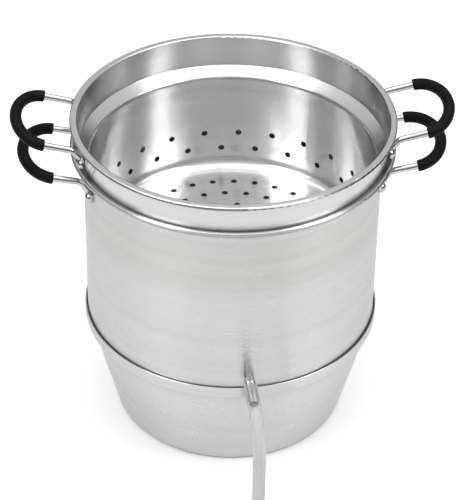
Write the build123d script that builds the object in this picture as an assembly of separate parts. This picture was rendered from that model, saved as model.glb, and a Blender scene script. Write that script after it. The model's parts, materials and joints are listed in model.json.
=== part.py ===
from build123d import *
import math
import os

# Three-tier aluminium steam juicer: a water pan, a juice kettle that nests in the
# pan's collar, and a steamer basket that hangs in the kettle.  Millimetres.
# Frame: Z up, origin at the middle of the pan's flat base, handles along +X and -X,
# juice spout towards -Y, turned off square by SPOUT_TURN as it is on the real one.

# ---------------------------------------------------------------- sizes
SHEET = 1.4                 # spun sheet thickness

PAN_BASE_R = 111.3          # outer radius of the pan's base
PAN_CORNER = 5.0            # outer radius of the base corner
PAN_TOP_R = 134.9           # outer radius of the tapered wall under the collar
PAN_LEDGE_Z = 102.2         # underside of the ledge
COLLAR_R = 140.4            # outer radius of the pan's collar
COLLAR_TOP = 113.6          # top edge of the collar

SEAT_GAP = 0.3              # clearance under each nested tier
KETTLE_Z0 = PAN_LEDGE_Z + SHEET + SEAT_GAP   # underside of the kettle
KETTLE_R_LOW = 138.0        # outer radius of the kettle wall, bottom
KETTLE_R_HIGH = 136.8       # outer radius of the kettle wall, top
FLARE_Z = 280.0             # where the kettle wall starts to flare
FLARE_SLOPE = 0.79          # rise of the flare for each millimetre outwards
KETTLE_BEAD_R = 146.3       # ring radius of the kettle's rolled edge
KETTLE_BEAD_Z = 290.1
KETTLE_BEAD_T = 2.2         # section radius of the rolled edge

BASKET_R = 142.4            # outer radius of the basket's collar
BASKET_LOW_R = 131.5        # outer radius of the nested lower wall
BASKET_FLOOR_Z = 176.0      # underside of the perforated floor
BASKET_CORNER = 12.0
RIM_TOP = 318.4
RIM_OUTER = 148.0           # the rim is rolled outwards and pressed flat
RIM_ROLL = 3.3              # thickness of the rolled rim

HOLE_D = 6.0                # steam holes
FLOOR_RINGS = [(20.0, 6), (40.0, 12), (60.0, 18), (80.0, 24), (100.0, 30)]
WALL_ROWS = [(198.0, 24), (216.0, 24)]

CONE_BASE_R = 41.0          # steam cone, outer radii
CONE_TOP_R = 25.0
CONE_TOP_Z = 166.0
CONE_T = 1.2
CONE_FLANGE_R = 50.0

SPOUT_Z = 120.0             # juice spout's axis
SPOUT_TURN = 2.5            # degrees about Z, from -Y towards +X
SPOUT_OD = 9.6
SPOUT_ID = 7.6
SPOUT_END = 171.0           # outer end, from the kettle's axis
SPOUT_IN = 127.0            # inner end
FLANGE_D = 11.5             # shoulder that bears on the wall from outside
FLANGE_T = 6.0
GASKET_D = 19.0
NUT_AF = 17.0
NUT_T = 5.0

HOSE_OD = 11.5
HOSE_ID = 8.2
CUFF_OD = 12.7              # the hose where it is stretched over the spout

ROD_R = 3.05                # handle rod
TAB_W = 10.0                # flattened end of the rod
TAB_T = 2.2
TAB_TOP = 5.1               # the flat runs this far above the rivet, clear of its head
RIVET_V = 40.6              # half the distance between a handle's rivets
RIVET_SHANK = 4.6
RIVET_HEAD = 9.8
RIVET_DOME = 3.6
NECK_R = 9.0               # bend of the rod under the rim
GRIP_OD = 10.6
GRIP_ID = 6.2

os.makedirs("parts", exist_ok=True)


def save(name, shape):
    shape.label = name
    export_step(shape, "parts/" + name + ".step")


# ---------------------------------------------------------------- helpers
def section(points):
    """A closed face in the XZ plane from (radius, height, corner radius)."""
    n = len(points)
    ends = []
    for i in range(n):
        x, z, r = points[i]
        p = Vector(x, 0, z)
        a = Vector(points[i - 1][0], 0, points[i - 1][1]) - p
        b = Vector(points[(i + 1) % n][0], 0, points[(i + 1) % n][1]) - p
        if r <= 0:
            ends.append((p, None, p))
            continue
        a, b = a.normalized(), b.normalized()
        half = math.acos(max(-1, min(1, a.dot(b)))) / 2
        t = r / math.tan(half)
        mid = (a + b).normalized()
        centre = p + mid * (r / math.sin(half))
        ends.append((p + a * t, centre - mid * r, p + b * t))
    edges = []
    for i in range(n):
        start, through, end = ends[i]
        if through is not None:
            edges.append(ThreePointArc(start, through, end))
        nxt = ends[(i + 1) % n][0]
        if (nxt - end).length > 1e-6:
            edges.append(Line(end, nxt))
    return make_face(edges)


def spun(points):
    return revolve(section(points), Axis.Z)


def ring(radius, z, r):
    return Pos(0, 0, z) * Torus(radius, r)


def one(shape):
    """The single solid of a boolean result."""
    solids = shape.solids()
    assert len(solids) == 1, len(solids)
    return solids[0]


def turned(shape, degrees):
    return Rot(0, 0, degrees) * shape


# ---------------------------------------------------------------- water pan
def make_pan():
    s = SHEET
    return one(spun([
        (0, 0, 0), (PAN_BASE_R, 0, PAN_CORNER),
        (126.0, 58.0, 260.0),
        (PAN_TOP_R, PAN_LEDGE_Z, 1.2),
        (COLLAR_R, PAN_LEDGE_Z, 1.5),
        (COLLAR_R, COLLAR_TOP, 0.65), (COLLAR_R - s, COLLAR_TOP, 0.65),
        (COLLAR_R - s, PAN_LEDGE_Z + s, 0.3),
        (PAN_TOP_R - s - 0.2, PAN_LEDGE_Z + s, 1.2),
        (126.0 - s, 58.0, 260.0),
        (PAN_BASE_R - s, s, PAN_CORNER - s), (0, s, 0)]))


# ---------------------------------------------------------------- juice kettle
def kettle_shell():
    s = SHEET
    end = 145.7
    body = spun([
        (38.0, KETTLE_Z0, 0), (KETTLE_R_LOW, KETTLE_Z0, 2.4),
        (KETTLE_R_HIGH, FLARE_Z, 6.0),
        (end, flare(end), 0),
        (KETTLE_BEAD_R - 0.2, KETTLE_BEAD_Z, 0),
        (end - 1.0, flare_inside(end - 1.0), 0),
        (KETTLE_R_HIGH - s, flare_inside(KETTLE_R_HIGH - s), 6.0),
        (KETTLE_R_LOW - s, KETTLE_Z0 + s, 2.0), (38.0, KETTLE_Z0 + s, 0)])
    return body + ring(KETTLE_BEAD_R, KETTLE_BEAD_Z, KETTLE_BEAD_T)


def flare(r, offset=0.0):
    """Height of the kettle's flare at radius r, offset square to it."""
    return (FLARE_Z + (r - KETTLE_R_HIGH) * FLARE_SLOPE
            + offset * math.sqrt(1 + FLARE_SLOPE ** 2))


def flare_inside(r):
    return flare(r, SHEET)


def wall_radius(z):
    f = (z - KETTLE_Z0) / (FLARE_Z - KETTLE_Z0)
    return KETTLE_R_LOW + (KETTLE_R_HIGH - KETTLE_R_LOW) * f


def outward(length, radius, start, z):
    """A cylinder along -Y, from radius start outwards."""
    return Plane((0, -start, z), x_dir=(1, 0, 0), z_dir=(0, -1, 0)) * Cylinder(
        radius, length, align=(Align.CENTER, Align.CENTER, Align.MIN))


# ---------------------------------------------------------------- handles
# Each handle is described in its own frame: x outwards, y across, z up, with the
# wall's outer radius, the rivets' height, the bend under the rim and the loop.
HANDLES = {
    "basket": dict(wall=BASKET_R, rivet_z=298.0, a_z=305.4, b=(145.6, 312.2),
                   reach=195.3, end_z=325.0, depth=26.0, half=41.2, inner=BASKET_R - SHEET),
    "kettle": dict(wall=wall_radius(261.6), rivet_z=261.6, a_z=269.6, b=(139.2, 278.6),
                   reach=190.8, end_z=288.5, depth=27.5, half=40.8, inner=wall_radius(261.6) - SHEET),
}


def rivet_angle(h):
    return math.degrees(math.asin(RIVET_V / h["wall"]))


def loop_plane(h):
    """The plane of the handle's loop, its origin at the middle of the half ellipse."""
    b, e = Vector(h["b"][0], 0, h["b"][1]), Vector(h["reach"], 0, h["end_z"])
    x = (e - b).normalized()
    return Plane(e - x * h["depth"], x_dir=Vector(0, 1, 0), z_dir=Vector(x.Z, 0, -x.X))


def handle_points(h):
    """Wall end, bend and start of the half ellipse of each arm."""
    c = math.cos(math.radians(rivet_angle(h)))
    s = math.sin(math.radians(rivet_angle(h)))
    r = h["wall"] + ROD_R + 0.25
    a = Vector(r * c, r * s, h["a_z"])
    b = Vector(h["b"][0], h["half"], h["b"][1])
    q = loop_plane(h).from_local_coords((h["half"], 0, 0))
    flip = lambda p: Vector(p.X, -p.Y, p.Z)
    return [a, b, q, flip(q), flip(b), flip(a)]


def loop_arc(h):
    """The half ellipse at the handle's outer end, from the +Y arm to the -Y arm."""
    return Edge.make_ellipse(h["half"], h["depth"], loop_plane(h), 0, 180)


def swept(points, radii, radius, hole=0.0):
    path = FilletPolyline(*points, radius=radii)
    start = Plane(path @ 0, z_dir=path % 0)
    face = start * Circle(radius)
    body = sweep(face, path=path)
    if hole:
        body = body - sweep(start * Circle(hole), path=path)
    return one(body)


def tab(h, side):
    """The flattened end of the rod, riveted flat against the wall."""
    ang = rivet_angle(h) * side
    z = h["rivet_z"]
    thick = TAB_T
    r0 = h["wall"] + 0.12
    low = Pos(r0 + thick / 2, 0, z - 0.2) * Rot(0, 90, 0) * Cylinder(TAB_W / 2, thick)
    keep = Pos(r0 + thick / 2, 0, z + TAB_TOP / 2) * Box(thick, TAB_W, TAB_TOP)
    plate = low + keep
    return Rot(0, 0, ang) * plate


def neck(h, side):
    """The rod's section, flattening from round to the tab."""
    pts = handle_points(h)
    a, b = (pts[0], pts[1]) if side > 0 else (pts[5], pts[4])
    ang = rivet_angle(h) * side
    r0 = h["wall"] + 0.12 + TAB_T / 2
    top = h["rivet_z"] + TAB_TOP
    low = Rot(0, 0, ang) * (Pos(r0, 0, top) * Rectangle(TAB_T, TAB_W))
    up = Plane(a, x_dir=(math.cos(math.radians(ang)), math.sin(math.radians(ang)), 0),
               z_dir=(b - a).normalized()) * Circle(ROD_R)
    return loft([low.face(), up.face()])


def shank_hole(h, side):
    ang = rivet_angle(h) * side
    return Rot(0, 0, ang) * (Pos(h["wall"] - 6, 0, h["rivet_z"]) * Rot(0, 90, 0) * Cylinder(
        RIVET_SHANK / 2 + 0.03, 20, align=(Align.CENTER, Align.CENTER, Align.MIN)))


def make_rod(h):
    pts = handle_points(h)
    near = FilletPolyline(*pts[:3], radius=NECK_R)
    far = FilletPolyline(*pts[3:], radius=NECK_R)
    path = Wire(near.edges() + ShapeList([loop_arc(h)]) + far.edges())
    start = Plane(pts[0], z_dir=(pts[1] - pts[0]).normalized())
    body = one(sweep(start * Circle(ROD_R), path=path))
    for side in (1, -1):
        body = body + neck(h, side) + tab(h, side)
    for side in (1, -1):
        body = body - shank_hole(h, side)
    return one(body)


def make_grip(h):
    pts = handle_points(h)
    path = Wire([loop_arc(h)])
    start = Plane(pts[2], z_dir=(pts[2] - pts[1]).normalized())
    body = one(sweep(start * Circle(GRIP_OD / 2), path=path)
               - sweep(start * Circle(GRIP_ID / 2), path=path))
    ends = [k for f in body.faces()
            if min((f.center() - pts[2]).length, (f.center() - pts[3]).length) < 1.0
            for k in f.outer_wire().edges()]
    return one(chamfer(ends, 0.8))


def dome(diameter, height, z0=0.0):
    """A domed head standing on z0."""
    r = diameter / 2
    big = (r * r + height * height) / (2 * height)
    ball = Pos(0, 0, z0 + height - big) * Sphere(big)
    cut = Pos(0, 0, z0) * Cylinder(diameter, height + 1,
                                   align=(Align.CENTER, Align.CENTER, Align.MIN))
    return ball & cut


def make_rivets(h):
    out = []
    for side in (1, -1):
        face = h["wall"] + 0.12 + TAB_T
        back = h["inner"] - 0.35
        head = dome(RIVET_HEAD, RIVET_DOME)
        shank = Pos(0, 0, back - face - 0.01) * Cylinder(
            RIVET_SHANK / 2, face - back + 0.02, align=(Align.CENTER, Align.CENTER, Align.MIN))
        foot = Pos(0, 0, back - face) * Rot(180, 0, 0) * dome(6.4, 1.3)
        piece = one(head + shank + foot)
        piece = Pos(face, 0, h["rivet_z"]) * Rot(0, 90, 0) * piece
        out.append(Rot(0, 0, rivet_angle(h) * side) * piece)
    return out


# ---------------------------------------------------------------- steamer basket
def make_basket(h):
    s = SHEET
    # the step is a cone that rests in the kettle's flare
    seat = SHEET + SEAT_GAP
    body = spun([
        (0, BASKET_FLOOR_Z, 0), (BASKET_LOW_R, BASKET_FLOOR_Z, BASKET_CORNER),
        (BASKET_LOW_R, flare(BASKET_LOW_R, seat), 4.0),
        (BASKET_R, flare(BASKET_R, seat), 1.0),
        (BASKET_R, RIM_TOP - RIM_ROLL, 0.5), (RIM_OUTER, RIM_TOP - RIM_ROLL, RIM_ROLL / 2 - 0.02),
        (RIM_OUTER, RIM_TOP, RIM_ROLL / 2 - 0.02), (BASKET_R - s, RIM_TOP, 1.3),
        (BASKET_R - s, flare(BASKET_R - s, seat + s), 1.2),
        (BASKET_LOW_R - s, flare(BASKET_LOW_R - s, seat + s), 5.0),
        (BASKET_LOW_R - s, BASKET_FLOOR_Z + s, BASKET_CORNER - s), (0, BASKET_FLOOR_Z + s, 0)])
    cutters = [Pos(0, 0, BASKET_FLOOR_Z) * Cylinder(HOLE_D / 2, 8)]
    for radius, count in FLOOR_RINGS:
        for i in range(count):
            a = 2 * math.pi * i / count
            cutters.append(Pos(radius * math.cos(a), radius * math.sin(a), BASKET_FLOOR_Z)
                           * Cylinder(HOLE_D / 2, 8))
    for k, (z, count) in enumerate(WALL_ROWS):
        for i in range(count):
            a = 360 * (i + 0.5 * k) / count
            cutters.append(Rot(0, 0, a) * Pos(BASKET_LOW_R, 0, z) * Rot(0, 90, 0)
                           * Cylinder(HOLE_D / 2, 8))
    for deg in (0, 180):
        for side in (1, -1):
            cutters.append(Rot(0, 0, deg) * shank_hole(h, side))
    return one(body.cut(*[c for c in cutters]) if hasattr(body, "cut") else body - cutters)


# ---------------------------------------------------------------- hose
def hose_route():
    """Corners of the hose's route from the spout's end to its free end."""
    z_floor = HOSE_OD / 2 + 0.05
    pts = []
    y, z, run = -SPOUT_END, SPOUT_Z, 13.0
    pts.append((0, y, z))
    for turn in (0, 22.5, 45, 67.5):
        y -= run * math.cos(math.radians(turn))
        z -= run * math.sin(math.radians(turn))
        pts.append((0, y, z))
    low = 17.0
    drop = low * (math.sin(math.radians(67.5)) + math.sin(math.radians(45))
                  + math.sin(math.radians(22.5)))
    z = z_floor + drop
    pts.append((0, y, z))
    heading = []
    for turn in (67.5, 45, 22.5):
        y -= low * math.cos(math.radians(turn))
        z -= low * math.sin(math.radians(turn))
        pts.append((0, y, z))
    # one loose turn on the floor, winding slightly inwards
    r_start, r_end, step = 69.0, 58.6, 30.0
    y0 = y - 19.0
    cx, cy = r_start, y0
    ang, first = 180.0, True
    while ang < 180.0 + 331.0:
        f = (ang - 180.0) / 331.0
        r = r_start + (r_end - r_start) * f
        a = math.radians(ang)
        pts.append((cx + r * math.cos(a), cy + r * math.sin(a), z_floor))
        ang += step
    return [Vector(*p) for p in pts]


def corner_radii(pts):
    radii = []
    for i in range(1, len(pts) - 1):
        a, b = pts[i] - pts[i - 1], pts[i + 1] - pts[i]
        half = math.radians(a.get_angle(b)) / 2
        radii.append(0.45 * min(a.length, b.length) / math.tan(half))
    return radii


def route_length(pts, radii):
    total = sum((pts[i + 1] - pts[i]).length for i in range(len(pts) - 1))
    for i, r in enumerate(radii):
        a, b = pts[i + 1] - pts[i], pts[i + 2] - pts[i + 1]
        turn = math.radians(a.get_angle(b))
        total += r * turn - 2 * r * math.tan(turn / 2)
    return total


# ---------------------------------------------------------------- build
basket_h, kettle_h = HANDLES["basket"], HANDLES["kettle"]

pan = make_pan()
save("water_pan", pan)

kettle = kettle_shell()
kettle = kettle - turned(outward(30, SPOUT_OD / 2 + 0.1, SPOUT_IN, SPOUT_Z), SPOUT_TURN)
for deg in (0, 180):
    for side in (1, -1):
        kettle = kettle - Rot(0, 0, deg) * shank_hole(kettle_h, side)
kettle = one(kettle)
save("juice_kettle", kettle)

cone_floor = KETTLE_Z0 + SHEET
cone = one(spun([
    (CONE_BASE_R - CONE_T, cone_floor + 0.02, 0), (CONE_FLANGE_R, cone_floor + 0.02, 0.5),
    (CONE_FLANGE_R, cone_floor + 1.2, 0.5), (CONE_BASE_R + 0.2, cone_floor + 1.2, 3.0),
    (CONE_TOP_R, CONE_TOP_Z - 2.0, 6.0), (CONE_TOP_R, CONE_TOP_Z, 0.5),
    (CONE_TOP_R - CONE_T, CONE_TOP_Z, 0.5), (CONE_TOP_R - CONE_T, CONE_TOP_Z - 2.0, 6.0)]))
save("steam_cone", cone)

# spout: a tube with an outer shoulder, drawn against the wall by a nut and a gasket
wall_in = wall_radius(SPOUT_Z) - SHEET
wall_out = wall_radius(SPOUT_Z)
inside = Cylinder(wall_in - 0.12, 400)
outside_cut = Cylinder(wall_out + 0.12, 400)
nut_face = wall_in - 2.4
tube = outward(SPOUT_END - SPOUT_IN, SPOUT_OD / 2, SPOUT_IN, SPOUT_Z)
flange = outward(wall_out + FLANGE_T - (wall_out - 1.0), FLANGE_D / 2, wall_out - 1.0, SPOUT_Z) - outside_cut
bore = outward(60, SPOUT_ID / 2, SPOUT_IN - 5, SPOUT_Z)
spout = one((tube + flange) - bore)
step = spout.edges().filter_by(GeomType.CIRCLE).filter_by(
    lambda k: abs(k.arc_center.Y + wall_out + FLANGE_T) < 1e-3 and k.radius > SPOUT_OD / 2 + 0.1)
spout = one(chamfer(step, 0.4))
mouth = spout.edges().filter_by(GeomType.CIRCLE).filter_by(
    lambda k: abs(k.arc_center.Y + SPOUT_END) < 1e-3)
spout = one(fillet(mouth, 0.35))
save("juice_spout", turned(spout, SPOUT_TURN))

gasket = one((outward(4.0, GASKET_D / 2, nut_face, SPOUT_Z) & inside)
             - outward(30, SPOUT_OD / 2 + 0.05, SPOUT_IN, SPOUT_Z))
save("spout_gasket", turned(gasket, SPOUT_TURN))

nut_plane = Plane((0, -(nut_face - NUT_T), SPOUT_Z), x_dir=(1, 0, 0), z_dir=(0, -1, 0))
nut = extrude(nut_plane * RegularPolygon(NUT_AF / 2, 6, major_radius=False), NUT_T - 0.02)
cham = nut_plane * Pos(0, 0, NUT_T / 2) * Sphere(10.6)
nut = one((nut & cham) - outward(40, SPOUT_OD / 2 + 0.05, SPOUT_IN - 10, SPOUT_Z))
save("spout_nut", turned(nut, SPOUT_TURN))

# hose: stretched over the spout, then free
cuff_start = wall_out + FLANGE_T + 0.1
cuff = outward(SPOUT_END - cuff_start, CUFF_OD / 2, cuff_start, SPOUT_Z) - outward(
    60, SPOUT_OD / 2 + 0.02, SPOUT_IN, SPOUT_Z)
cuff = one(cuff)
ends = cuff.edges().filter_by(GeomType.CIRCLE).filter_by(
    lambda k: abs(k.radius - CUFF_OD / 2) < 1e-3)
cuff = one(fillet(ends, 0.5))
save("hose_cuff", turned(cuff, SPOUT_TURN))

route = hose_route()
radii = corner_radii(route)
length = route_length(route, radii)
hose = swept(route, radii, HOSE_OD / 2, HOSE_ID / 2)
want = math.pi * (HOSE_OD ** 2 - HOSE_ID ** 2) / 4 * length
print("hose: free length %.1f, whole %.1f from %.2f" % (length, length + SPOUT_END - cuff_start, cuff_start))
print("hose: radii", [round(r, 1) for r in radii])
print("hose: volume %.0f, section x length %.0f" % (hose.volume, want))
print("hose: route", [(round(p.X, 2), round(p.Y, 2), round(p.Z, 2)) for p in route])
save("juice_hose", turned(hose, SPOUT_TURN))

basket = make_basket(basket_h)
save("steamer_basket", basket)

for tier, h in (("basket", basket_h), ("kettle", kettle_h)):
    rod, grip, rivets = make_rod(h), make_grip(h), make_rivets(h)
    for name, deg in (("right", 0), ("left", 180)):
        save("%s_handle_%s" % (tier, name), turned(rod, deg))
        save("%s_grip_%s" % (tier, name), turned(grip, deg))
        save("%s_rivets_%s" % (tier, name), Compound(children=[turned(r, deg) for r in rivets]))
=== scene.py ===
import json
import math

import bpy
import bmesh
import numpy as np
from mathutils import Matrix, Vector

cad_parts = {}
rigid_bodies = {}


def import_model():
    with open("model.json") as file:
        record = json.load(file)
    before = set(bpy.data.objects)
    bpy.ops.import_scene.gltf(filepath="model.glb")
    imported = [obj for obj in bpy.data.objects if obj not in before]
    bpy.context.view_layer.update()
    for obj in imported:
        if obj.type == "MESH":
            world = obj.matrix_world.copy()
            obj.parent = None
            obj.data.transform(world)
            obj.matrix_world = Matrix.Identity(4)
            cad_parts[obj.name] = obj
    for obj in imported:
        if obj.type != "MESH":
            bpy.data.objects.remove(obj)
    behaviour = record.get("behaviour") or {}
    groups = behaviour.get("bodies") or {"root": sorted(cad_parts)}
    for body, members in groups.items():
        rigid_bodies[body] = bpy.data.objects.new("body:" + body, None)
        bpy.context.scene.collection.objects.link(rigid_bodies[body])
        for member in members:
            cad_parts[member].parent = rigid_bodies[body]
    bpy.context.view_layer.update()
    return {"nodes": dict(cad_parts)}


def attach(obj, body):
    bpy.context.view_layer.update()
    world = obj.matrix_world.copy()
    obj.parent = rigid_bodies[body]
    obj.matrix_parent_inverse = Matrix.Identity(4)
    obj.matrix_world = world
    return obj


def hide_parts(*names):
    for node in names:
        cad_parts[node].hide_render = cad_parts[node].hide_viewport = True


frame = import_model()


# ------------------------------------------------------------------ node helpers
class Nodes:
    def __init__(self, name):
        self.mat = bpy.data.materials.new(name)
        self.mat.use_nodes = True
        self.t = self.mat.node_tree
        self.t.nodes.clear()
        self.out = self.t.nodes.new("ShaderNodeOutputMaterial")
        self.bsdf = self.t.nodes.new("ShaderNodeBsdfPrincipled")
        self.t.links.new(self.bsdf.outputs[0], self.out.inputs["Surface"])

    def add(self, kind, **props):
        n = self.t.nodes.new(kind)
        for k, v in props.items():
            setattr(n, k, v)
        return n

    def link(self, a, b):
        self.t.links.new(a, b)

    def math(self, op, a, b=None, clamp=False):
        n = self.add("ShaderNodeMath", operation=op, use_clamp=clamp)
        for i, v in enumerate((a, b)):
            if v is None:
                continue
            if isinstance(v, (int, float)):
                n.inputs[i].default_value = v
            else:
                self.link(v, n.inputs[i])
        return n.outputs[0]

    def ramp(self, value, stops):
        n = self.add("ShaderNodeValToRGB")
        e = n.color_ramp.elements
        e[0].position, e[0].color = stops[0][0], stops[0][1]
        e[1].position, e[1].color = stops[-1][0], stops[-1][1]
        for p, c in stops[1:-1]:
            x = e.new(p)
            x.color = c
        self.link(value, n.inputs[0])
        return n.outputs[0]

    def noise(self, vector, scale, detail=3.0, rough=0.55, dist=0.0):
        n = self.add("ShaderNodeTexNoise")
        n.inputs["Scale"].default_value = scale
        n.inputs["Detail"].default_value = detail
        n.inputs["Roughness"].default_value = rough
        n.inputs["Distortion"].default_value = dist
        if vector is not None:
            self.link(vector, n.inputs["Vector"])
        return n.outputs[0]

    def remap(self, value, lo, hi, to_lo, to_hi):
        n = self.add("ShaderNodeMapRange")
        n.inputs[1].default_value, n.inputs[2].default_value = lo, hi
        n.inputs[3].default_value, n.inputs[4].default_value = to_lo, to_hi
        self.link(value, n.inputs[0])
        return n.outputs[0]

    def bump(self, height, strength, distance, normal=None):
        n = self.add("ShaderNodeBump")
        n.inputs["Strength"].default_value = strength
        n.inputs["Distance"].default_value = distance
        self.link(height, n.inputs["Height"])
        if normal is not None:
            self.link(normal, n.inputs["Normal"])
        return n.outputs[0]

    def set(self, **vals):
        for k, v in vals.items():
            self.bsdf.inputs[k.replace("_", " ")].default_value = v


def grey(v, a=1.0):
    return (v, v, v, a)


def lathe_coords(m):
    """(radius, height, angle round the axis) of the object's own coordinates, in metres and turns."""
    tc = m.add("ShaderNodeTexCoord").outputs["Object"]
    s = m.add("ShaderNodeSeparateXYZ")
    m.link(tc, s.inputs[0])
    x, y, z = s.outputs
    r = m.math("SQRT", m.math("ADD", m.math("MULTIPLY", x, x), m.math("MULTIPLY", y, y)))
    return tc, x, y, z, r


def spun_aluminium(name, base=(0.80, 0.80, 0.803), rough=0.28, aniso=0.93, line=1.0, bands=()):
    """Satin spun aluminium: fine turning lines round the axis, soft bands, faint smudges."""
    m = Nodes(name)
    tc, x, y, z, r = lathe_coords(m)
    c = m.add("ShaderNodeCombineXYZ")
    m.link(m.math("MULTIPLY", r, 1.0), c.inputs[0])
    m.link(m.math("MULTIPLY", z, 1.0), c.inputs[1])
    flat = c.outputs[0]
    # turning lines: they follow radius and height only, with a slow drift round the wall
    drift = m.noise(tc, 5.0, 2.0)
    c2 = m.add("ShaderNodeCombineXYZ")
    m.link(r, c2.inputs[0])
    m.link(z, c2.inputs[1])
    m.link(m.math("MULTIPLY", drift, 0.0008), c2.inputs[2])
    fine = m.noise(c2.outputs[0], 2600.0, 3.0, 0.7)
    mid = m.noise(c2.outputs[0], 620.0, 3.0, 0.6)
    wide = m.noise(flat, 62.0, 2.0, 0.5)
    cloud = m.noise(tc, 9.0, 4.0, 0.55, 0.6)
    smudge = m.noise(tc, 28.0, 5.0, 0.62, 0.8)
    # colour
    tone = m.math("ADD", m.math("MULTIPLY", wide, 0.6), m.math("MULTIPLY", mid, 0.15))
    tone = m.math("ADD", tone, m.math("MULTIPLY", cloud, 0.25))
    b = base
    dark = (b[0] * 0.93, b[1] * 0.925, b[2] * 0.905, 1)
    lite = (min(1, b[0] * 1.045), min(1, b[1] * 1.045), min(1, b[2] * 1.05), 1)
    col = m.ramp(tone, [(0.36, dark), (0.5, (b[0], b[1], b[2], 1)), (0.64, lite)])

    def band(value, lo, hi, soft):
        """1 between lo and hi, easing to 0 over soft on each side."""
        up = m.remap(value, lo - soft, lo, 0.0, 1.0)
        down = m.remap(value, hi, hi + soft, 1.0, 0.0)
        return m.math("MULTIPLY", up, down)

    def tint(colour, amount, tone):
        x = m.add("ShaderNodeMix", data_type="RGBA", blend_type="MULTIPLY")
        m.link(amount, x.inputs[0])
        m.link(colour, x.inputs[6])
        x.inputs[7].default_value = tone
        return x.outputs[2]

    # bands of painted shade (and tone bands), each with noise breaking up its strength
    for lo, hi, soft, r_lo, gain, shade in bands:
        mask = band(z, lo, hi, soft)
        if r_lo is not None:
            mask = m.math("MULTIPLY", mask, m.remap(r, r_lo, r_lo + 0.0008, 0.0, 1.0))
        band_strength_noise = m.remap(m.noise(tc, 40.0, 3.0), 0.3, 0.7, 0.75 * gain, gain)
        col = tint(col, m.math("MULTIPLY", mask, band_strength_noise), shade)
    m.link(col, m.bsdf.inputs["Base Color"])
    # roughness
    rr = m.math("ADD", m.math("MULTIPLY", fine, 0.02 * line), m.math("MULTIPLY", mid, 0.03 * line))
    rr = m.math("ADD", rr, m.math("MULTIPLY", smudge, 0.04))
    rr = m.math("ADD", rr, rough - 0.045)
    m.link(rr, m.bsdf.inputs["Roughness"])
    # relief of the turning lines
    h = m.math("ADD", m.math("MULTIPLY", mid, 0.6), m.math("MULTIPLY", wide, 0.4))
    n1 = m.bump(h, 0.012 * line, 0.0006)
    n2 = m.bump(cloud, 0.012, 0.004, n1)
    m.link(n2, m.bsdf.inputs["Normal"])
    tan = m.add("ShaderNodeTangent", direction_type="RADIAL", axis="Z")
    m.link(tan.outputs[0], m.bsdf.inputs["Tangent"])
    m.set(Metallic=1.0, Anisotropic=aniso, Anisotropic_Rotation=0.25)
    return m.mat


def bright_rod(name):
    m = Nodes(name)
    tc = m.add("ShaderNodeTexCoord").outputs["Object"]
    n = m.noise(tc, 900.0, 3.0, 0.6)
    w = m.noise(tc, 60.0, 3.0, 0.6)
    m.link(m.ramp(w, [(0.3, (0.60, 0.605, 0.62, 1)), (0.7, (0.70, 0.70, 0.71, 1))]), m.bsdf.inputs["Base Color"])
    m.link(m.math("ADD", m.math("MULTIPLY", n, 0.04), m.math("ADD", m.math("MULTIPLY", w, 0.06), 0.03)),
           m.bsdf.inputs["Roughness"])
    m.link(m.bump(n, 0.04, 0.0003), m.bsdf.inputs["Normal"])
    m.set(Metallic=1.0)
    return m.mat


def rivet_metal(name):
    m = Nodes(name)
    tc = m.add("ShaderNodeTexCoord").outputs["Object"]
    n = m.noise(tc, 1500.0, 3.0, 0.6)
    w = m.noise(tc, 220.0, 4.0, 0.6)
    m.link(m.ramp(w, [(0.3, (0.60, 0.60, 0.60, 1)), (0.7, (0.74, 0.74, 0.74, 1))]), m.bsdf.inputs["Base Color"])
    m.link(m.math("ADD", m.math("MULTIPLY", n, 0.12), m.math("ADD", m.math("MULTIPLY", w, 0.14), 0.10)),
           m.bsdf.inputs["Roughness"])
    m.link(m.bump(m.math("ADD", n, w), 0.10, 0.0004), m.bsdf.inputs["Normal"])
    m.set(Metallic=1.0)
    return m.mat


def black_sleeve(name):
    """Soft black vinyl tube pushed over the rod: matt, faint drag lines and pores."""
    m = Nodes(name)
    tc = m.add("ShaderNodeTexCoord").outputs["Object"]
    mp = m.add("ShaderNodeMapping")
    mp.inputs["Scale"].default_value = (1.0, 0.35, 1.0)
    m.link(tc, mp.inputs[0])
    pores = m.noise(mp.outputs[0], 1700.0, 4.0, 0.65)
    lines = m.noise(mp.outputs[0], 380.0, 3.0, 0.6)
    scuff = m.noise(tc, 70.0, 5.0, 0.65, 0.5)
    m.link(m.ramp(scuff, [(0.35, grey(0.003)), (0.6, grey(0.006)), (0.78, grey(0.012))]),
           m.bsdf.inputs["Base Color"])
    m.link(m.math("ADD", m.math("MULTIPLY", pores, 0.16), m.math("ADD", m.math("MULTIPLY", scuff, 0.18), 0.38)),
           m.bsdf.inputs["Roughness"])
    h = m.math("ADD", m.math("MULTIPLY", pores, 0.5), lines)
    m.link(m.bump(h, 0.22, 0.0005), m.bsdf.inputs["Normal"])
    m.set(Specular_IOR_Level=0.12)
    return m.mat


def spout_metal(name):
    m = Nodes(name)
    tc = m.add("ShaderNodeTexCoord").outputs["Object"]
    mp = m.add("ShaderNodeMapping")
    mp.inputs["Scale"].default_value = (1.0, 0.2, 1.0)
    m.link(tc, mp.inputs[0])
    n = m.noise(mp.outputs[0], 900.0, 3.0, 0.6)
    w = m.noise(tc, 130.0, 4.0, 0.6)
    m.link(m.ramp(w, [(0.3, (0.72, 0.72, 0.73, 1)), (0.7, (0.84, 0.84, 0.85, 1))]), m.bsdf.inputs["Base Color"])
    m.link(m.math("ADD", m.math("MULTIPLY", n, 0.08), m.math("ADD", m.math("MULTIPLY", w, 0.06), 0.06)),
           m.bsdf.inputs["Roughness"])
    m.link(m.bump(n, 0.04, 0.0003), m.bsdf.inputs["Normal"])
    m.set(Metallic=1.0)
    return m.mat


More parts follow.
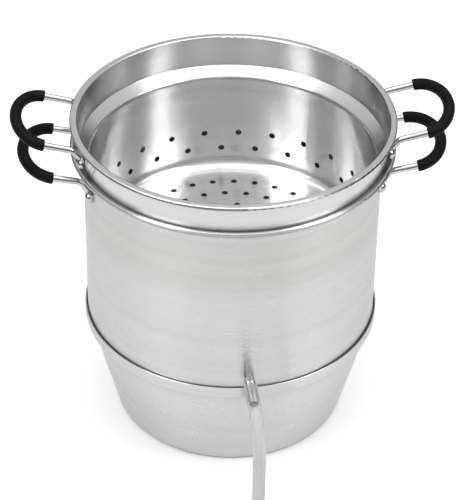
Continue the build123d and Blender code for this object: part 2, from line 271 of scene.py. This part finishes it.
def seal(name):
    m = Nodes(name)
    tc = m.add("ShaderNodeTexCoord").outputs["Object"]
    n = m.noise(tc, 1200.0, 3.0, 0.6)
    w = m.noise(tc, 120.0, 3.0, 0.6)
    m.link(m.ramp(w, [(0.3, (0.62, 0.60, 0.55, 1)), (0.7, (0.74, 0.72, 0.67, 1))]), m.bsdf.inputs["Base Color"])
    m.link(m.math("ADD", m.math("MULTIPLY", n, 0.2), 0.45), m.bsdf.inputs["Roughness"])
    m.link(m.bump(n, 0.15, 0.0003), m.bsdf.inputs["Normal"])
    m.set(Subsurface_Weight=0.15, Subsurface_Scale=0.002)
    return m.mat


def clear_hose(name):
    """Clear vinyl or silicone hose: slightly milky, with soft streaks along it."""
    m = Nodes(name)
    tc = m.add("ShaderNodeTexCoord").outputs["Object"]
    w = m.noise(tc, 90.0, 4.0, 0.6)
    n = m.noise(tc, 900.0, 3.0, 0.6)
    m.link(m.ramp(w, [(0.3, (0.86, 0.865, 0.862, 1)), (0.7, (0.90, 0.905, 0.902, 1))]), m.bsdf.inputs["Base Color"])
    m.link(m.bump(w, 0.006, 0.0004), m.bsdf.inputs["Normal"])
    # clear where it is stretched over the spout, milkier where it hangs free
    sp = m.add("ShaderNodeSeparateXYZ")
    m.link(tc, sp.inputs[0])
    over = m.remap(sp.outputs[1], -0.184, -0.174, 0.0, 1.0)
    m.link(m.math("ADD", m.math("MULTIPLY", over, 0.30), 0.60), m.bsdf.inputs["Transmission Weight"])
    rr = m.math("ADD", m.math("MULTIPLY", w, 0.08), m.math("ADD", m.math("MULTIPLY", n, 0.03), 0.20))
    m.link(m.math("SUBTRACT", rr, m.math("MULTIPLY", over, 0.17)), m.bsdf.inputs["Roughness"])
    m.set(IOR=1.30)
    return m.mat


# ------------------------------------------------------------------ carried-over CAD nodes
MATS = {
    # bands: height from, to, soft edge, least radius, strength, tone.  Painted shade under the rolled
    # edges and at the pan's base edge, the pan darker and warmer towards its base, and the faint warm turning band
    # on the kettle
    "basket": spun_aluminium("satin_spun_basket", rough=0.22, aniso=0.72, bands=[
        # painted shade: dark band on the outer lower face of the basket's rolled rim
        (0.3146, 0.3175, 0.0004, 0.1464, 1.0, (0.38, 0.39, 0.40, 1))]),
    "kettle": spun_aluminium("satin_spun_kettle", bands=[
        # painted shade: dark band on the underside of the kettle's rolled bead
        (0.2860, 0.2897, 0.0005, 0.1440, 1.0, (0.42, 0.42, 0.43, 1)),
        (0.222, 0.256, 0.012, None, 0.9, (0.93, 0.925, 0.905, 1))]),
    "pan": spun_aluminium("satin_spun_pan", bands=[
        # painted shade: thin dark line at the pan's base edge, where it meets the floor
        (-0.01, 0.0022, 0.0012, 0.1085, 1.0, (0.13, 0.12, 0.11, 1)),
        # darker and warmer towards the pan's base
        (-0.01, 0.003, 0.022, None, 0.9, (0.95, 0.94, 0.92, 1))], base=(0.86, 0.86, 0.863)),
    "inner": spun_aluminium("satin_spun_cone", base=(0.78, 0.78, 0.785), rough=0.36, aniso=0.8),
    "rod": bright_rod("bright_rod"),
    "rivet": rivet_metal("rivet_metal"),
    "sleeve": black_sleeve("black_sleeve"),
    "spout": spout_metal("spout_metal"),
    "seal": seal("seal_silicone"),
    "hose": clear_hose("clear_hose"),
}
USE = {"water_pan": "pan", "juice_kettle": "kettle", "steamer_basket": "basket", "steam_cone": "inner",
       "juice_spout": "spout", "spout_nut": "spout", "spout_gasket": "seal"}
for tier in ("basket", "kettle"):
    for side in ("left", "right"):
        USE["%s_handle_%s" % (tier, side)] = "rod"
        USE["%s_grip_%s" % (tier, side)] = "sleeve"
        USE["%s_rivets_%s" % (tier, side)] = "rivet"


def node_object(name):
    n = frame["nodes"][name]
    return bpy.data.objects[n] if isinstance(n, str) else n


for name, key in USE.items():
    o = node_object(name)
    for s in o.material_slots:
        s.material = MATS[key]
    if not o.material_slots:
        o.data.materials.append(MATS[key])

# ------------------------------------------------------------------ hose
SPOUT_END, SPOUT_Z = 0.171, 0.120
CUFF_START = 0.1441
SPOUT_TURN = math.radians(2.5)
ROUTE = [(0.0, -171.0, 120.0), (0.0, -184.0, 120.0), (0.0, -196.01, 115.03), (0.0, -205.2, 105.83),
         (0.0, -210.18, 93.82), (0.0, -210.18, 40.03), (0.0, -216.68, 24.33), (0.0, -228.7, 12.31),
         (0.0, -244.41, 5.8), (0.0, -263.41, 5.8), (10.06, -297.44, 5.8), (35.44, -321.53, 5.8),
         (69.0, -329.58, 5.8), (101.61, -319.9, 5.8), (124.67, -295.55, 5.8), (132.34, -263.41, 5.8),
         (123.04, -232.21, 5.8), (99.73, -210.18, 5.8), (69.0, -202.89, 5.8), (39.21, -211.82, 5.8),
         (18.22, -234.09, 5.8)]
ROUTE = [Vector(p) / 1000 for p in ROUTE]


def rounded_path(pts, step=0.0022):
    """Straight runs joined by tangent arcs, each 0.45 of its shorter run."""
    out = [pts[0].copy()]

    def run(a, b):
        n = max(1, int((b - a).length / step))
        for k in range(1, n + 1):
            out.append(a.lerp(b, k / n))

    here = pts[0]
    for i in range(1, len(pts) - 1):
        p = pts[i]
        a, b = p - pts[i - 1], pts[i + 1] - p
        turn = a.angle(b)
        t = 0.45 * min(a.length, b.length)
        r = t / math.tan(turn / 2)
        s, e = p - a.normalized() * t, p + b.normalized() * t
        run(here, s)
        centre = p + (b.normalized() - a.normalized()).normalized() * (r / math.cos(turn / 2))
        n = max(2, int(r * turn / step))
        va, vb = s - centre, e - centre
        for k in range(1, n + 1):
            f = k / n
            v = (va * math.sin((1 - f) * turn) + vb * math.sin(f * turn)) / math.sin(turn)
            out.append(centre + v)
        here = e
    run(here, pts[-1])
    return out


path = [Vector((0, -CUFF_START, SPOUT_Z))] + rounded_path([Vector((0, -CUFF_START - 0.0001, SPOUT_Z))] + ROUTE[1:])
keep = [path[0]]
for p in path[1:]:
    if (p - keep[-1]).length > 4e-4:
        keep.append(p)
turn = Matrix.Rotation(SPOUT_TURN, 3, "Z")
path = [turn @ p for p in keep]
along = [0.0]
for a, b in zip(path, path[1:]):
    along.append(along[-1] + (b - a).length)


def hose_tube(name, path, along, sides=40):
    """A hollow tube: outer skin, bore, and the cut end's ring."""
    bm = bmesh.new()
    spout_len = SPOUT_END - CUFF_START
    up = Vector((1, 0, 0))
    outer, inner = [], []
    prev_t = None
    for i, p in enumerate(path):
        t = (path[min(i + 1, len(path) - 1)] - path[max(i - 1, 0)]).normalized()
        if prev_t is not None:
            q = prev_t.rotation_difference(t)
            up = q @ up
        up = (up - t * up.dot(t)).normalized()
        prev_t = t
        side = t.cross(up)
        s = along[i]
        # stretched over the spout, easing down to its own size past the spout's end
        f = min(1.0, max(0.0, (s - spout_len - 0.0005) / 0.009))
        f = f * f * (3 - 2 * f)
        ro = 0.00628 * (1 - f) + 0.00575 * f
        ri = 0.00479 * (1 - f) + 0.0041 * f
        # rounded lip at the wall end
        ro -= 0.0006 * max(0.0, 1 - s / 0.0008) ** 2
        ring_o, ring_i = [], []
        for k in range(sides):
            a = 2 * math.pi * k / sides
            d = up * math.cos(a) + side * math.sin(a)
            wob = 1 + 0.0010 * math.sin(2 * a + s * 37.0)
            ring_o.append(bm.verts.new(p + d * ro * wob))
            ring_i.append(bm.verts.new(p + d * ri))
        outer.append(ring_o)
        inner.append(ring_i)
    for rows, flip in ((outer, False), (inner, True)):
        for a, b in zip(rows, rows[1:]):
            for k in range(sides):
                q = [a[k], a[(k + 1) % sides], b[(k + 1) % sides], b[k]]
                bm.faces.new(q[::-1] if flip else q)
    for k in range(sides):
        j = (k + 1) % sides
        bm.faces.new([outer[0][j], outer[0][k], inner[0][k], inner[0][j]])
        bm.faces.new([outer[-1][k], outer[-1][j], inner[-1][j], inner[-1][k]])
    bmesh.ops.recalc_face_normals(bm, faces=bm.faces)
    me = bpy.data.meshes.new(name)
    bm.to_mesh(me)
    bm.free()
    for p in me.polygons:
        p.use_smooth = True
    o = bpy.data.objects.new(name, me)
    bpy.context.scene.collection.objects.link(o)
    return o


hose = hose_tube("clear_juice_hose", path, along)
hose.data.materials.append(MATS["hose"])
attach(hose, "kettle")
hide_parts("juice_hose", "hose_cuff")

# ------------------------------------------------------------------ stage, lights, camera
scene = bpy.context.scene


def stage_mesh(name, verts, faces, mat):
    me = bpy.data.meshes.new(name)
    me.from_pydata(verts, [], faces)
    o = bpy.data.objects.new(name, me)
    scene.collection.objects.link(o)
    o.data.materials.append(mat)
    return o


def floor_material(name, albedo, glow):
    m = Nodes(name)
    tc = m.add("ShaderNodeTexCoord").outputs["Object"]
    n = m.noise(tc, 3.0, 3.0, 0.5)
    m.link(m.ramp(n, [(0.3, grey(albedo - 0.01)), (0.7, grey(albedo + 0.01))]), m.bsdf.inputs["Base Color"])
    m.set(Roughness=0.9, Specular_IOR_Level=0.1, Emission_Color=(1, 1, 1, 1), Emission_Strength=glow)
    return m.mat


def flag_material():
    """Grey studio surround: dark at the horizon, lighter towards its top edge."""
    m = Nodes("studio_surround")
    tc = m.add("ShaderNodeTexCoord").outputs["Object"]
    sp = m.add("ShaderNodeSeparateXYZ")
    m.link(tc, sp.inputs[0])
    col = m.ramp(m.remap(sp.outputs[2], 0.0, 1.7, 0.0, 1.0),
                 [(0.0, grey(0.02)), (0.62, grey(0.03)), (1.0, grey(0.55))])
    m.link(col, m.bsdf.inputs["Base Color"])
    m.set(Roughness=1.0, Specular_IOR_Level=0.0)
    return m.mat


S = 7.0
square = lambda z: [(-S, -S, z), (S, -S, z), (S, S, z), (-S, S, z)]
floor = stage_mesh("floor", square(0), [(0, 1, 2, 3)], floor_material("pale_floor", 0.81, 0.30))
# the same floor as the metal sees it, a little greyer, so that bright metal stays below white
table = stage_mesh("floor_in_reflections", square(-0.0004), [(0, 1, 2, 3)], floor_material("grey_floor", 0.56, 0.22))
for o, seen in ((floor, True), (table, False)):
    o.visible_camera = seen
    o.visible_glossy = not seen
    o.visible_diffuse = not seen
    o.visible_transmission = seen
    o.visible_shadow = False

# a dark band round the studio, behind the camera; it is seen only in reflections
FR, FZ0, FZ1, NF = 2.9, 0.01, 1.7, 72
ring = [(FR * math.cos(2 * math.pi * k / NF), FR * math.sin(2 * math.pi * k / NF)) for k in range(NF)]
flag = stage_mesh("surround", [(x, y, FZ0) for x, y in ring] + [(x, y, FZ1) for x, y in ring],
                  [(k, (k + 1) % NF, NF + (k + 1) % NF, NF + k) for k in range(NF)], flag_material())
flag.visible_camera = False
flag.visible_diffuse = False
flag.visible_shadow = False


def area(name, loc, target, size, power, size_y=None):
    d = bpy.data.lights.new(name, "AREA")
    d.energy = power
    d.size = size
    if size_y:
        d.shape = "RECTANGLE"
        d.size_y = size_y
    o = bpy.data.objects.new(name, d)
    o.location = loc
    o.rotation_euler = (Vector(target) - Vector(loc)).to_track_quat("-Z", "Y").to_euler()
    scene.collection.objects.link(o)
    return o


area("top_soft", (0.0, 0.1, 2.2), (0, 0, 0.15), 2.4, 26)
area("left_soft", (-1.6, -1.0, 1.9), (0, 0, 0.2), 1.2, 14)
area("right_soft", (1.6, -0.8, 1.9), (0, 0, 0.2), 1.2, 14)

world = bpy.data.worlds.new("studio")
scene.world = world
world.use_nodes = True
wt = world.node_tree
wt.nodes.clear()
wo = wt.nodes.new("ShaderNodeOutputWorld")
wb = wt.nodes.new("ShaderNodeBackground")
wb.inputs["Color"].default_value = (1.0, 1.0, 1.0, 1)
wb.inputs["Strength"].default_value = 0.60
wt.links.new(wb.outputs[0], wo.inputs[0])

# camera: same distance, height and lens as the reference view, turned to the object's axes
F_PX, D, EL = 1791.4, 1.7003, math.radians(36.19)
YAW, PITCH, ROLL = math.radians(0.04), math.radians(-0.29), math.radians(-0.97)
TURN = math.radians(-5.2)
C = Vector((0, -D * math.cos(EL), 0.317 - 0.140 + D * math.sin(EL)))
fwd = Vector((0, math.cos(EL), -math.sin(EL)))
right = Vector((1, 0, 0))
up = right.cross(fwd)


def about(v, axis, a):
    return Matrix.Rotation(a, 3, axis) @ v


fwd, right = about(fwd, up, YAW), about(right, up, YAW)
fwd, up = about(fwd, right, PITCH), about(up, right, PITCH)
right, up = about(right, fwd, ROLL), about(up, fwd, ROLL)
rz = Matrix.Rotation(TURN, 3, "Z")
C, fwd, right, up = rz @ C, rz @ fwd, rz @ right, rz @ up
cam_data = bpy.data.cameras.new("camera")
cam_data.sensor_width = 36.0
cam_data.sensor_fit = "AUTO"
cam_data.lens = F_PX * 36.0 / 500.0
cam_data.clip_start, cam_data.clip_end = 0.05, 50
cam = bpy.data.objects.new("camera", cam_data)
scene.collection.objects.link(cam)
m = Matrix((right, up, -fwd)).transposed().to_4x4()
m.translation = C
cam.matrix_world = m
scene.camera = cam
scene.view_settings.view_transform = "Standard"
scene.view_settings.look = "None"
